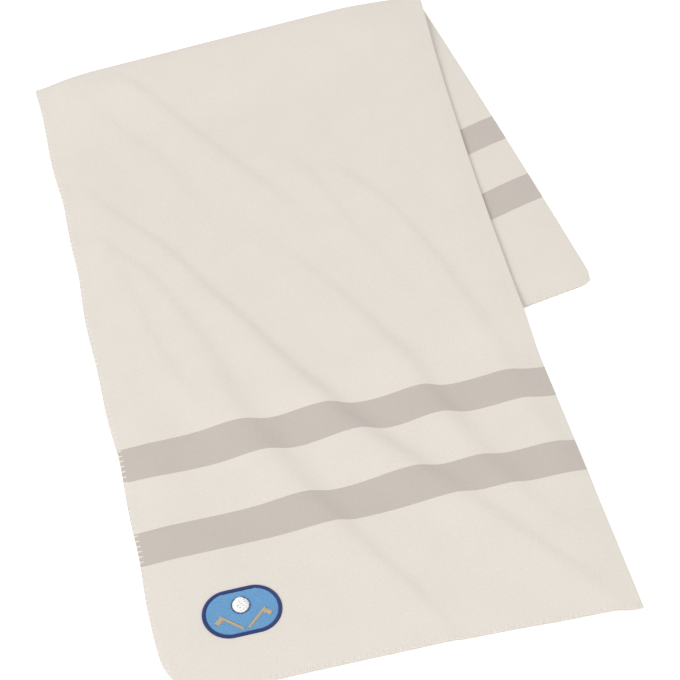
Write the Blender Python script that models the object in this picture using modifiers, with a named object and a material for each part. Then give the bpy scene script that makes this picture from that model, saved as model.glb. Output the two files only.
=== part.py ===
"""A golf towel, laid out for display.

The cloth is cut as one rectangle with rounded corners and an overlocked edge. It is folded in half
lengthwise, so that the fold is on the right and the open edges are on the left, and then folded over
crosswise on a slant. The longer end, the front, lies on top with the emblem. The shorter end, the
back, lies underneath, turned a little to the right, and shows beside the front.

Units are metres and +Z is up. X runs across the front and Y runs along it, from its free end to the
crease. Each woven band of the cloth is its own solid, so that each has its own colour, and so are the
two halves of the rolled crease, which part where the front turns about the crease line.
"""

import math

import bmesh
import bpy
from mathutils import Matrix, Vector

# The towel as it lies.
FRONT_LENGTH = 0.3345  # left edge of the front, from its free end to the crease
FRONT_END_WIDTH = 0.187  # soft ripples draw the free end in
CREASE_WIDTH = 0.2005  # along the crease
CREASE_SKEW = math.radians(6.2)  # the crease against the stripes of the front
BACK_LENGTH = 0.1985  # right edge of the back, from the crease to its free end
CREASE_HEIGHT = 0.012  # the crosswise crease is soft, and stands this high
SIDE_HOLLOW = 0.0026  # the right edge of the front bows in between the stripes and the crease
CORNER_RADIUS = 0.020  # the cut corners, on the open side
FRONT_FLARE = 0.006  # the corner on the lengthwise fold reaches past the end
BACK_FLARE = 0.003

# The woven bands, counted from a free end.
FRONT_END_MARGIN = 0.0603
BACK_END_MARGIN = 0.0528
STRIPE = 0.0157
STRIPE_SPACE = 0.0239

# The cloth and its edge.
LAYER = 0.0009  # thickness of one layer
LAYER_SPACE = 0.0009  # loft between the two layers
EDGING = 0.0008  # diameter of the overlocked edge, just under a layer, so that the cloth carries
GAP = 0.0003  # between solids that touch on the real towel
LIE_GAP = 0.0010  # between the back and the front that lies on it

# How the front comes down from the crease, and off the end of the back.
SETTLE_LENGTH = 0.045
STEP_LENGTH = 0.025

# The emblem.
EMBLEM_WIDTH = 0.031
EMBLEM_HEIGHT = 0.021
EMBLEM_FROM_SIDE = 0.0345  # centre of the emblem to the open side
EMBLEM_FROM_END = 0.0305
EMBLEM_RELIEF = 0.0006  # height of one level of stitches
BORDER_WIDTH = 0.0014
BACKING_MARGIN = 0.0015  # the backing reaches past the border
BACKING_THICKNESS = 0.0003
BALL_RADIUS = 0.0034
CLUB_LENGTH = 0.0105
CLUB_LEAN = math.radians(48)
SHAFT_WIDTH = 0.0009
HEAD_LENGTH = 0.0034
HEAD_WIDTH = 0.0019

# The care label, sewn on beside the open edge of the back.
LABEL_WIDTH = 0.018
LABEL_LENGTH = 0.032
LABEL_THICKNESS = 0.0003
LABEL_FROM_END = 0.012

ROW_PITCH = 0.009  # spacing of the rows of faces along the cloth
COLUMNS = 10  # faces across one layer
TURN_COLUMNS = 6  # faces round the lengthwise fold
ROLL_ROWS = 6  # faces round a quarter of the crosswise crease

# What follows from the sizes above.
STRIP = 2 * LAYER + LAYER_SPACE
LAYER_OFFSET = (LAYER + LAYER_SPACE) / 2
EDGE_INSET = EDGING + GAP
ROLL_OUTER = CREASE_HEIGHT / 2
ROLL_MIDDLE = ROLL_OUTER - STRIP / 2
CREASE_ALONG = Vector((math.cos(CREASE_SKEW), math.sin(CREASE_SKEW), 0))
CREASE_IN = Vector((math.sin(CREASE_SKEW), -math.cos(CREASE_SKEW), 0))
UP = Vector((0, 0, 1))
BACK_LEFT_LENGTH = BACK_LENGTH + CREASE_WIDTH * math.sin(CREASE_SKEW)
FRONT_ON_FLOOR = STRIP / 2
FRONT_ON_BACK = STRIP + LIE_GAP + STRIP / 2
FRONT_AT_CREASE = CREASE_HEIGHT - STRIP / 2
STRIPES_TOP = 2 * STRIPE + STRIPE_SPACE


def smoothstep(value):
    value = min(max(value, 0.0), 1.0)
    return value * value * (3 - 2 * value)


def mix(first, second, share):
    return first + (second - first) * share


def linear(red, green, blue):
    """A colour given in display values from 0 to 255, as Blender's linear values."""

    def channel(value):
        value /= 255
        return value / 12.92 if value <= 0.04045 else ((value + 0.055) / 1.055) ** 2.4

    return (channel(red), channel(green), channel(blue), 1.0)


# The shape of each panel. A panel's own coordinates are across, the distance from the open side on
# the cloth as if it were CREASE_WIDTH wide throughout, and along, the distance from the free end.


def crease_point(across):
    """The outermost line of the crosswise crease, in plan."""
    return Vector((0, FRONT_LENGTH, 0)) + CREASE_ALONG * across


def roll_start(across):
    """Where the panels run into the roll of the crease, in plan."""
    return crease_point(across) + CREASE_IN * ROLL_OUTER


def back_length(across):
    """The back as far as the roll, at this place across it."""
    return mix(BACK_LEFT_LENGTH, BACK_LENGTH, across / CREASE_WIDTH) - ROLL_OUTER


def back_plan(across, along):
    length = back_length(across)
    flare = BACK_FLARE * (across / CREASE_WIDTH) ** 3 * (1 - along / length)
    return roll_start(across) + CREASE_IN * (length - along + flare)


def front_plan(across, along):
    share = across / CREASE_WIDTH
    bands_end = FRONT_END_MARGIN + STRIPES_TOP
    if along <= bands_end:
        flare = FRONT_FLARE * share**3 * max(0.0, 1 - along / FRONT_END_MARGIN)
        return Vector((share * FRONT_END_WIDTH, along - flare, 0))
    foot = Vector((share * FRONT_END_WIDTH, bands_end, 0))
    top = roll_start(across)
    rise = (along - bands_end) / (front_length(across) - bands_end)
    hollow = Vector((SIDE_HOLLOW * share * 4 * rise * (1 - rise), 0, 0))
    return mix(foot, top, rise) - hollow


def front_length(across):
    """The front as far as the roll, at this place across it."""
    return roll_start(across).y


def past_back_end(point):
    """How far a point of the front, in plan, lies beyond the free end of the back."""
    left, right = back_plan(0, 0), back_plan(CREASE_WIDTH, 0)
    end_line = (right - left).normalized()
    outward = Vector((end_line.y, -end_line.x, 0))
    return (point - left).dot(outward)


def front_height(point):
    """Height of the middle of the front: down from the crease, along the back, then onto the floor."""
    from_roll = (point - roll_start(0)).dot(CREASE_IN)
    settled = mix(FRONT_AT_CREASE, FRONT_ON_BACK, smoothstep(from_roll / SETTLE_LENGTH))
    return mix(settled, FRONT_ON_FLOOR, smoothstep(past_back_end(point) / STEP_LENGTH))


def front_middle(across, along):
    """Middle of the two layers of the front, and the direction that its outer layer lies in."""
    point = front_plan(across, along)
    return point + UP * front_height(point), UP


def back_middle(across, along):
    return back_plan(across, along) + UP * (STRIP / 2), -UP


def roll_middle(across, angle):
    """Middle of the two layers in the roll, at an angle above the level of the crease line."""
    outward = -CREASE_IN * math.cos(angle) + UP * math.sin(angle)
    centre = roll_start(across) + UP * ROLL_OUTER
    return centre + outward * ROLL_MIDDLE, outward


# Turning panels into solids.


def corner_inset(along, inset):
    """How far the open side is from the panel's edge line at this distance from the free end."""
    if along >= CORNER_RADIUS:
        return inset
    height = CORNER_RADIUS - along
    return CORNER_RADIUS - math.sqrt(max(0.0, (CORNER_RADIUS - inset) ** 2 - height**2))


def layered_point(middle, step, left):
    """A point of the cloth folded lengthwise: out along one layer, round the fold, back along the other."""
    right = CREASE_WIDTH - STRIP / 2
    turn = step - COLUMNS
    if turn <= 0:
        point, normal = middle(mix(left, right, step / COLUMNS))
        return point + normal * LAYER_OFFSET
    if turn >= TURN_COLUMNS:
        point, normal = middle(mix(right, left, (turn - TURN_COLUMNS) / COLUMNS))
        return point - normal * LAYER_OFFSET
    point, normal = middle(right)
    sideways = (point - middle(mix(left, right, 0.9))[0]).normalized()
    angle = math.pi * turn / TURN_COLUMNS
    return point + (normal * math.cos(angle) + sideways * math.sin(angle)) * LAYER_OFFSET


def cloth_solid(name, rows, material, body):
    """A closed solid of the folded cloth. Each row gives its line across the cloth and its left edge."""
    last_column = 2 * COLUMNS + TURN_COLUMNS
    mesh = bpy.data.meshes.new(name)
    grid = bmesh.new()
    bmesh.ops.create_grid(grid, x_segments=last_column, y_segments=len(rows) - 1, size=0.5)
    for vertex in grid.verts:
        step = round((vertex.co.x + 0.5) * last_column)
        middle, left = rows[round((vertex.co.y + 0.5) * (len(rows) - 1))]
        vertex.co = layered_point(middle, step, left)
    grid.to_mesh(mesh)
    grid.free()
    mesh.shade_smooth()
    piece = add_object(name, mesh, material, body)
    shell = piece.modifiers.new("thickness", "SOLIDIFY")
    shell.thickness = LAYER
    shell.offset = 0
    return piece


def band_rows(panel_middle, low, high):
    """Rows of one band, from low to high, which are functions of the distance across."""
    length = high(0) - low(0)
    count = max(1, round(length / ROW_PITCH))
    rows = []
    for index in range(count + 1):
        share = index / count
        along_left = mix(low(0), high(0), share)

        def middle(across, share=share):
            return panel_middle(across, mix(low(across), high(across), share))

        rows.append((middle, corner_inset(along_left, EDGE_INSET)))
    return rows


def end_rows(panel_middle, high):
    """Rows of an end border: close together round the cut corner, then as far as high."""
    corner_steps = 6
    rows = []
    for index in range(corner_steps + 1):
        angle = math.pi / 2 * index / corner_steps
        along = CORNER_RADIUS - (CORNER_RADIUS - EDGE_INSET) * math.cos(angle)

        def middle(across, along=along):
            return panel_middle(across, along)

        rows.append((middle, corner_inset(along, EDGE_INSET)))
    return rows + band_rows(panel_middle, lambda across: CORNER_RADIUS, lambda across: high)[1:]


def roll_rows(first_angle, last_angle):
    rows = []
    for index in range(ROLL_ROWS + 1):
        angle = mix(first_angle, last_angle, index / ROLL_ROWS)

        def middle(across, angle=angle):
            return roll_middle(across, angle)

        rows.append((middle, EDGE_INSET))
    return rows


def edging_path(panel_middle, roll_angles, panel_length):
    """The overlocked edge of one panel: down one layer, along the end, round the fold and back up."""
    bead = EDGING / 2
    side = []
    for index in range(ROLL_ROWS):
        point, normal = roll_middle(bead, mix(roll_angles[0], roll_angles[1], index / ROLL_ROWS))
        side.append((point, normal))
    side_steps = round(panel_length / ROW_PITCH / 2)
    for index in range(side_steps):
        side.append(panel_middle(bead, mix(panel_length, CORNER_RADIUS, index / side_steps)))
    corner_steps = 6
    for index in range(corner_steps + 1):
        angle = math.pi / 2 * index / corner_steps
        radius = CORNER_RADIUS - bead
        across = CORNER_RADIUS - radius * math.cos(angle)
        side.append(panel_middle(across, CORNER_RADIUS - radius * math.sin(angle)))
    right = CREASE_WIDTH - STRIP / 2
    end_steps = 8
    for index in range(1, end_steps + 1):
        side.append(panel_middle(mix(CORNER_RADIUS, right, index / end_steps), bead))
    path = [point + normal * LAYER_OFFSET for point, normal in side]
    point, normal = side[-1]
    sideways = (point - side[-2][0]).normalized()
    for index in range(1, TURN_COLUMNS):
        angle = math.pi * index / TURN_COLUMNS
        turned = normal * math.cos(angle) + sideways * math.sin(angle)
        path.append(point + turned * LAYER_OFFSET)
    path += [point - normal * LAYER_OFFSET for point, normal in reversed(side)]
    return path


def edging(name, path, material, body):
    curve = bpy.data.curves.new(name, "CURVE")
    curve.dimensions = "3D"
    curve.bevel_depth = EDGING / 2
    curve.bevel_resolution = 2
    curve.use_fill_caps = True
    spline = curve.splines.new("POLY")
    spline.points.add(len(path) - 1)
    for spline_point, point in zip(spline.points, path):
        spline_point.co = (*point, 1)
    return add_object(name, curve, material, body)


# The emblem, drawn about its own centre, with +Y up the towel.


def stadium(width, height, steps=12):
    """A bar with round ends, as points in turn."""
    radius = height / 2
    straight = width / 2 - radius
    points = []
    for end in (1, -1):
        for index in range(steps + 1):
            angle = end * math.pi / 2 - math.pi * index / steps
            points.append((end * straight + radius * math.cos(angle), radius * math.sin(angle)))
    return points


def disc(radius, steps=24):
    angles = [2 * math.pi * index / steps for index in range(steps)]
    return [(radius * math.cos(angle), radius * math.sin(angle)) for angle in angles]


def club(side):
    """A golf iron that leans out from the foot of the emblem, with its head at the top."""
    half = SHAFT_WIDTH / 2
    blade = CLUB_LENGTH - HEAD_WIDTH
    outline = [
        (-half, 0),
        (half, 0),
        (half, blade),
        (HEAD_LENGTH, blade + HEAD_WIDTH * 0.3),
        (HEAD_LENGTH * 0.95, CLUB_LENGTH + HEAD_WIDTH * 0.3),
        (half, CLUB_LENGTH),
        (-half, CLUB_LENGTH),
    ]
    foot = Vector((half + 2 * GAP, BORDER_WIDTH * 2 - EMBLEM_HEIGHT / 2, 0))
    turn = Matrix.Rotation(-CLUB_LEAN, 4, "Z")
    points = [turn @ Vector((x, y, 0)) + foot for x, y in outline]
    return [(side * point.x, point.y) for point in points]


def flat_piece(name, outlines, low, thickness, material, body):
    """A flat extruded outline, or an outline with a hole, lying above the floor at low."""
    curve = bpy.data.curves.new(name, "CURVE")
    curve.dimensions = "2D"
    curve.fill_mode = "BOTH"
    curve.extrude = thickness / 2
    for outline in outlines:
        spline = curve.splines.new("POLY")
        spline.points.add(len(outline) - 1)
        spline.use_cyclic_u = True
        for spline_point, point in zip(spline.points, outline):
            spline_point.co = (*point, 0, 1)
    piece = add_object(name, curve, material, body)
    place = front_plan(EMBLEM_FROM_SIDE * CREASE_WIDTH / FRONT_END_WIDTH, EMBLEM_FROM_END)
    piece.location = place + UP * (low + thickness / 2)
    return piece


def add_emblem(materials, body):
    ground_low = STRIP + GAP
    top_low = ground_low + EMBLEM_RELIEF + GAP
    backing = stadium(EMBLEM_WIDTH + 2 * BACKING_MARGIN, EMBLEM_HEIGHT + 2 * BACKING_MARGIN)
    outer = stadium(EMBLEM_WIDTH, EMBLEM_HEIGHT)
    inner = stadium(EMBLEM_WIDTH - 2 * BORDER_WIDTH, EMBLEM_HEIGHT - 2 * BORDER_WIDTH)
    inset = 2 * (BORDER_WIDTH + GAP)
    ground = stadium(EMBLEM_WIDTH - inset, EMBLEM_HEIGHT - inset)
    backing_low = (STRIP - BACKING_THICKNESS) / 2
    flat_piece("emblem_backing", [backing], backing_low, BACKING_THICKNESS, materials["backing"], body)
    for name, outlines, low in (
        ("emblem_border", [outer, inner], ground_low),
        ("emblem_ground", [ground], ground_low),
        ("emblem_ball", [disc(BALL_RADIUS)], top_low),
        ("emblem_club_left", [club(-1)], top_low),
        ("emblem_club_right", [club(1)], top_low),
    ):
        flat_piece(name, outlines, low, EMBLEM_RELIEF, materials[name.split("_")[1]], body)
    bpy.data.objects["emblem_ball"].location.y += EMBLEM_HEIGHT / 8


def add_label(material, body):
    """A blank label that lies on the back, under the front, square to the back's own edges."""
    across = EDGE_INSET + LABEL_WIDTH / 2
    along = CORNER_RADIUS + LABEL_FROM_END + LABEL_LENGTH / 2
    bpy.ops.mesh.primitive_cube_add(size=1)
    label = bpy.context.object
    label.data.transform(Matrix.Diagonal((LABEL_WIDTH, LABEL_LENGTH, LABEL_THICKNESS, 1)))
    place = back_plan(across, along) + UP * (STRIP + GAP + LABEL_THICKNESS / 2)
    mesh = label.data
    mesh.name = "care_label"
    bpy.data.objects.remove(label)
    label = add_object("care_label", mesh, material, body)
    label.location = place
    label.rotation_euler.z = CREASE_SKEW


# Materials, collections and the tree of bodies.


def fabric(name, colour, roughness):
    material = bpy.data.materials.new(name)
    material.use_nodes = True
    shader = material.node_tree.nodes["Principled BSDF"]
    shader.inputs["Base Color"].default_value = linear(*colour)
    shader.inputs["Roughness"].default_value = roughness
    shader.inputs["Metallic"].default_value = 0.0
    return material


def make_materials():
    return {
        "cloth": fabric("ivory_cloth", (228, 221, 211), 0.95),
        "stripe": fabric("taupe_cloth", (202, 193, 184), 0.95),
        "edging": fabric("ivory_thread", (232, 226, 216), 0.8),
        "backing": fabric("white_felt", (238, 238, 236), 0.95),
        "border": fabric("navy_thread", (38, 48, 84), 0.5),
        "ground": fabric("blue_thread", (122, 164, 208), 0.5),
        "club": fabric("tan_thread", (196, 168, 122), 0.5),
        "ball": fabric("white_thread", (244, 243, 240), 0.5),
        "label": fabric("white_tape", (240, 239, 235), 0.7),
    }


def add_object(name, data, material, body):
    piece = bpy.data.objects.new(name, data)
    data.materials.append(material)
    bpy.data.collections["golf_towel"].objects.link(piece)
    piece.parent = body
    piece.matrix_parent_inverse = body.matrix_world.inverted()
    return piece


def add_body(name, location, parent=None):
    """An empty that carries the pieces of one rigid body."""
    body = bpy.data.objects.new(name, None)
    bpy.data.collections["golf_towel"].objects.link(body)
    body.location = location
    body.parent = parent
    bpy.context.view_layer.update()
    return body


def add_panel(prefix, half_name, middle, margin, length, roll_angles, materials, body):
    """One end of the towel: its bands from the free end to the roll, its half of the roll, its edge."""
    seam = GAP / 2
    lower = margin + STRIPE
    upper = lower + STRIPE_SPACE
    field = upper + STRIPE
    border = end_rows(middle, margin - seam)
    cloth_solid(prefix + "_end_border", border, materials["cloth"], body)
    for name, low, high, material in (
        ("_lower_stripe", margin, lower, "stripe"),
        ("_stripe_space", lower, upper, "cloth"),
        ("_upper_stripe", upper, field, "stripe"),
    ):
        rows = band_rows(middle, lambda across: low + seam, lambda across: high - seam)
        cloth_solid(prefix + name, rows, materials[material], body)
    rows = band_rows(middle, lambda across: field + seam, lambda across: length(across) - seam)
    cloth_solid(prefix + "_field", rows, materials["cloth"], body)
    cloth_solid(half_name, roll_rows(*roll_angles), materials["cloth"], body)
    path = edging_path(middle, roll_angles[::-1], length(0))
    edging(prefix + "_edging", path, materials["edging"], body)


def corner_points(piece, graph):
    """The lowest and the highest X, Y and Z that a piece reaches."""
    evaluated = piece.evaluated_get(graph)
    points = [evaluated.matrix_world @ vertex.co for vertex in evaluated.to_mesh().vertices]
    evaluated.to_mesh_clear()
    return [Vector(pick(point[axis] for point in points) for axis in range(3)) for pick in (min, max)]


def centre_on_origin(body):
    """Stands the towel on the origin: the middle of its box in X and Y, and the floor in Z."""
    bpy.context.view_layer.update()
    graph = bpy.context.evaluated_depsgraph_get()
    corners = []
    for piece in bpy.data.collections["golf_towel"].objects:
        if piece.type != "EMPTY":
            corners += corner_points(piece, graph)
    low = Vector(min(corner[axis] for corner in corners) for axis in range(3))
    high = Vector(max(corner[axis] for corner in corners) for axis in range(3))
    body.location = (-(low.x + high.x) / 2, -(low.y + high.y) / 2, -low.z)


def main():
    for old in list(bpy.data.objects):
        bpy.data.objects.remove(old)
    collection = bpy.data.collections.new("golf_towel")
    bpy.context.scene.collection.children.link(collection)
    materials = make_materials()
    back = add_body("back", (0, 0, 0))
    crease = crease_point(0) + UP * ROLL_OUTER
    front = add_body("front", crease, back)
    top, half_gap = math.pi / 2, GAP / 2 / ROLL_MIDDLE
    front_roll = (top - half_gap, half_gap)
    back_roll = (-top + half_gap, -half_gap)
    add_panel(
        "front", "crease_upper_half", front_middle, FRONT_END_MARGIN, front_length, front_roll,
        materials, front,
    )
    add_panel(
        "back", "crease_lower_half", back_middle, BACK_END_MARGIN, back_length, back_roll,
        materials, back,
    )
    add_emblem(materials, front)
    add_label(materials["label"], back)
    centre_on_origin(back)


main()
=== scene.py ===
"""The looks of the folded golf towel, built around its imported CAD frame.

The towel is one sheet of brushed cotton with two pairs of woven stripes. It is folded in half
lengthwise, with its fold on the right and its open edges on the left, and then folded over
crosswise, so that the front lies on the back. Everything here is placed on that sheet by three
numbers: how far across the panel it is, how far along the sheet from the front's free end, and how
far it is turned round the lengthwise fold. sheet_point() turns them into a place. The cloth, the
overlock thread round its edge, the embroidery and the care label all go through it, so they all
follow the same ripples, and they all bend together where the crosswise crease is unfolded.

Units are metres, in the CAD's frame, with +Z up.
"""

import math

import bpy
import numpy as np
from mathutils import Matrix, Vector

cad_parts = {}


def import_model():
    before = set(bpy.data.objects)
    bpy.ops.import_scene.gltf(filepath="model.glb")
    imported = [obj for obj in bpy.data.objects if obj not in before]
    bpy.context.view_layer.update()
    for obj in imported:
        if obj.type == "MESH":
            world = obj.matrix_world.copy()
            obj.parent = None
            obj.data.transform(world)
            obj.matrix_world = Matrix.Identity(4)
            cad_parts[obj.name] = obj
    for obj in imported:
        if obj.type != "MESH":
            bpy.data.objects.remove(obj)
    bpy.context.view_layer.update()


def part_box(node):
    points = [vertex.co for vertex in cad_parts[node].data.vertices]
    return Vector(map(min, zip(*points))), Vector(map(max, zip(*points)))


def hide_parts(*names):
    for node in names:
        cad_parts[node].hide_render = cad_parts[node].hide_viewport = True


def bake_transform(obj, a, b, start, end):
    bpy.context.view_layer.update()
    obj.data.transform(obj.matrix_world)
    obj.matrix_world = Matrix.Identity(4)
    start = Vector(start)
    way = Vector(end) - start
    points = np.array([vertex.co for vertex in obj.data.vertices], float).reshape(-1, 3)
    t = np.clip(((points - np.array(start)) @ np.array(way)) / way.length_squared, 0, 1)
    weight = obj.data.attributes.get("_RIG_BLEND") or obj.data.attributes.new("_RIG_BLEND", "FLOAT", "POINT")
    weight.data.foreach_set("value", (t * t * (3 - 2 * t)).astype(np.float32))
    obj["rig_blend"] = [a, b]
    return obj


# The folded sheet, as the CAD has it.
FRONT_LENGTH = 0.3345
FRONT_END_WIDTH = 0.187
CREASE_WIDTH = 0.2005
CREASE_SKEW = math.radians(6.2)
BACK_LENGTH = 0.1985
CREASE_HEIGHT = 0.012
SIDE_HOLLOW = 0.0026
CORNER_RADIUS = 0.020
FRONT_FLARE = 0.006
BACK_FLARE = 0.003
FRONT_END_MARGIN = 0.0603
BACK_END_MARGIN = 0.0528
STRIPE = 0.0157
STRIPE_SPACE = 0.0239
LAYER = 0.0009
LAYER_SPACE = 0.0009
SETTLE_LENGTH = 0.045
STEP_LENGTH = 0.025
SEAM_GAP = 0.00015  # the CAD leaves this much beside each band
EDGE_INSET = 0.0011  # and this much beside the open edge
STRIP = 2 * LAYER + LAYER_SPACE
LAYER_OFFSET = (LAYER + LAYER_SPACE) / 2
FOLD_ACROSS = CREASE_WIDTH - STRIP / 2  # where the panel runs into its lengthwise fold
CREASE_ALONG = np.array((math.cos(CREASE_SKEW), math.sin(CREASE_SKEW), 0))
CREASE_IN = np.array((math.sin(CREASE_SKEW), -math.cos(CREASE_SKEW), 0))
UP = np.array((0.0, 0.0, 1.0))
BACK_LEFT_LENGTH = BACK_LENGTH + CREASE_WIDTH * math.sin(CREASE_SKEW)
STRIPES_LENGTH = 2 * STRIPE + STRIPE_SPACE
FRONT_BANDS = FRONT_END_MARGIN + STRIPES_LENGTH
BACK_BANDS = BACK_END_MARGIN + STRIPES_LENGTH
FLAT_WIDTH = 0.406

# How the real crease differs from an even roll: it is pinched flatter towards both sides, and drawn
# in towards the open one.
PINCH_WIDTH = 0.028
PINCH_HEIGHT = 0.0020
PINCH_PULL = 0.0011
PULL_POWER = 1.3  # how steeply the pull grows towards the side
FOLD_PINCH_WIDTH = 0.048
FOLD_PINCH_HEIGHT = 0.0052

# How the real layers lie: the front close on the back, the two layers closing up along every edge,
# and the free ends drawn in where they meet the lengthwise fold.
LIE_GAP = 0.0003
CLOSED_OFFSET = 0.00048  # of each layer's middle from the middle of the two, at an edge
CLOSING_WIDTH = 0.016
TIP_WIDTH = 0.007
TIP_FADE = 0.007
FRONT_TUCK = 0.0001
BACK_TUCK = 0.0014
FOLD_TUCK = 0.0012  # the lengthwise fold draws in this far at the back's end
FRONT_FOLD_SHARE = 0.1  # and by this share of it at the front's
FOLD_THINNING = 0.40  # all along the fold, each layer is pressed thinner by this share
FOLD_PRESS = 0.00015  # and this much closer to the other one
BACK_SPREAD = 0.0029  # the back spreads this far past its straight side at its free end

# Stations are places along the sheet: metres from the front's free end as far as the crease, then
# round its roll, then on to the back's free end. They are measured at the open side.
ROLL_START = FRONT_LENGTH - CREASE_HEIGHT / 2
ROLL_LENGTH = math.pi * (CREASE_HEIGHT - STRIP) / 2
ROLL_END = ROLL_START + ROLL_LENGTH
SHEET_END = ROLL_END + BACK_LEFT_LENGTH - CREASE_HEIGHT / 2
BEND_MARGIN = 0.006  # the sheet starts to bend this far before the roll when it is unfolded

# Ridges that run down the front, each by its name: the width of its gentle left side, and points
# along its crest as (X, Y, height, width of its steep right side) in millimetres, from the crease
# towards the free end.
RIDGES = {
    "far_left": (
        9,
        (
            (14, 224, 0, 2.5), (20, 198, 0.5, 2.5), (24, 172, 0.6, 3), (32, 140, 0.6, 3),
            (40, 120, 0, 3),
        ),
    ),
    "left": (
        14,
        (
            (8, 238, 0, 2.5), (15, 225, 0.5, 2.5), (27, 208, 0.8, 2.5), (37, 184, 1.0, 3.5),
            (44, 160, 1.4, 5), (50, 122, 2.4, 8), (58, 102, 2.5, 8), (69, 78, 2.2, 7),
            (79, 60, 1.5, 4.5), (103, 16, 0.8, 3), (110, 0, 0.4, 3),
        ),
    ),
    "middle": (
        15,
        (
            (4, 274, 0, 2.5), (22, 243, 0.8, 2.5), (39, 219, 1.0, 2.5), (53, 190, 1.2, 2.8),
            (66, 164, 1.6, 3.5), (76, 141, 2.0, 4.5), (87, 119, 2.9, 6.5), (98, 101, 3.1, 7),
            (115, 77, 3.0, 7), (129, 60, 2.0, 6), (150, 35, 1.2, 3.2), (171, 6, 0.9, 3),
            (176, -2, 0.8, 3),
        ),
    ),
    "right_of_middle": (
        14,
        (
            (80, 224, 0, 2.8), (99, 190, 0.7, 2.8), (110, 171, 0.9, 3), (118, 151, 1.3, 4),
            (127, 129, 2.2, 6), (135, 100, 2.6, 7), (144, 76, 1.8, 6.5), (154, 57, 1.0, 5),
            (166, 36, 0.4, 4), (176, 16, 0, 4),
        ),
    ),
    "right": (
        13,
        (
            (122, 256, 0, 2.5), (130, 243, 0.6, 2.5), (143, 221, 0.8, 2.5), (152, 197, 1.0, 2.5),
            (158, 174, 1.1, 3), (163, 150, 1.2, 4), (168, 122, 1.3, 6), (171, 99, 1.2, 6),
            (176, 80, 0.8, 5), (184, 57, 0.3, 4), (190, 42, 0, 4),
        ),
    ),
    "upper": (
        12,
        (
            (20, 335, 0.5, 2.5), (36, 328, 0.8, 2.5), (48, 316, 0.9, 2.5), (59, 300, 1.0, 2.5),
            (70, 281, 1.0, 2.8), (87, 252, 0.8, 3), (101, 228, 0.4, 3), (109, 207, 0, 3),
        ),
    ),
    "upper_left": (
        10,
        (
            (14, 328, 0, 3), (31, 299, 0.5, 3), (47, 274, 0.6, 3), (59, 240, 0.4, 3),
            (68, 214, 0, 3),
        ),
    ),
    "upper_right": (
        10,
        (
            (104, 270, 0, 2.5), (111, 254, 0.5, 2.5), (119, 230, 0.6, 2.5), (126, 204, 0.6, 2.5),
            (135, 182, 0.5, 3), (141, 162, 0.3, 3), (148, 142, 0, 3),
        ),
    ),
}
RIDGE_DRAW = 0.55  # a ridge draws the cloth along by this share of its height
LOOSE_LENGTH = 0.012  # the front's ridges and swell grow over this length from the roll
BACK_LOOSE_LENGTH = 0.02  # and the back's swell over this one
SWELL_HEIGHT = 0.00025  # of the faint unevenness all over
SWELL_WAVES = (  # radians per metre in X and in Y, phase, and strength
    (148, 61, 0.7, 1.0),
    (-83, 109, 2.1, 1.0),
    (212, -167, 4.0, 0.7),
    (95, 251, 1.3, 0.5),
)
BACK_SWELL_SHIFT = 0.4  # in X, so that the back is uneven in other places
BACK_BOW = 0.0045  # the back's stripes sag where the front hides them
BOW_WIDTH = 0.03
EDGE_WANDER = 0.0006  # how far an open edge strays from the cut line
WANDER_WIDTH = 0.02
WANDER_WAVES = ((46, 1, 1.0), (127, 2, 0.6))  # radians per metre, times the phase, and strength
WANDER_PHASE = 3.0

# The overlocked edge.
STITCH_PITCH = 0.0025
STITCH_BITE = 0.0021
THREAD_RADIUS = 0.00018
THREAD_SIDES = 5
EDGE_THINNING = 0.35  # the stitches squeeze the edge by this share

# Lengths of the cut edge, round a corner and round a whole free end.
CORNER_EDGE = math.pi / 2 * CORNER_RADIUS
END_EDGE = 2 * (CORNER_EDGE + FOLD_ACROSS - CORNER_RADIUS) + math.pi * CLOSED_OFFSET

# The emblem.
EMBLEM_WIDTH = 0.031
EMBLEM_HEIGHT = 0.021
EMBLEM_FROM_SIDE = 0.0345
EMBLEM_FROM_END = 0.0305
BORDER_WIDTH = 0.0014
BACKING_MARGIN = 0.0015
BACKING_WIDTH = EMBLEM_WIDTH + 2 * BACKING_MARGIN
BACKING_HEIGHT = EMBLEM_HEIGHT + 2 * BACKING_MARGIN
BACKING_THICKNESS = 0.0003
BACKING_RINGS = 8
BACKING_SPOKES = 64
BACKING_HUB = 0.02  # its innermost ring, as a share of its outermost
BALL_RADIUS = 0.0034
BALL_RISE = EMBLEM_HEIGHT / 8
CLUB_LENGTH = 0.0105
CLUB_LEAN = math.radians(48)
CLUB_FROM_MIDDLE = 0.0006
CLUB_FROM_EDGE = 2 * BORDER_WIDTH
SHAFT_WIDTH = 0.0009
HEAD_LENGTH = 0.0034
HEAD_WIDTH = 0.0019
HEAD_TOP_LENGTH = 0.95 * HEAD_LENGTH
HEAD_RISE = 0.3 * HEAD_WIDTH  # from the shaft to its far end

# The embroidery. Each kind of stitch is given by how high it arches, how far above the cloth it
# lies, and the radius of its thread.
SATIN_PITCH = 0.00030
FILL_PITCH = 0.00040
FILL_STITCH = 0.0036
ROW_SHIFT = 0.37  # each row of a fill starts this share of a stitch further back
SHORTEST_STITCH = 0.2  # as a share of a full one
OUTLINE_STITCHES = 28
OUTLINE_GAP = 0.0002
BORDER_STITCH = (0.00032, 0.00012, 0.00020)
GROUND_STITCH = (0.00012, 0.00005, 0.00021)
BALL_STITCH = (0.00045, 0.00030, 0.00020)
CLUB_STITCH = (0.00030, 0.00032, 0.00020)
OUTLINE_STITCH = (0.00020, 0.00038, 0.00016)
ARCH_PLACES = np.array((0.0, 0.12, 0.35, 0.65, 0.88, 1.0))  # along a stitch
ARCH_SHAPE = np.array((-0.6, 0.55, 1.0, 1.0, 0.55, -0.6))  # its height there, as shares of the arch

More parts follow.
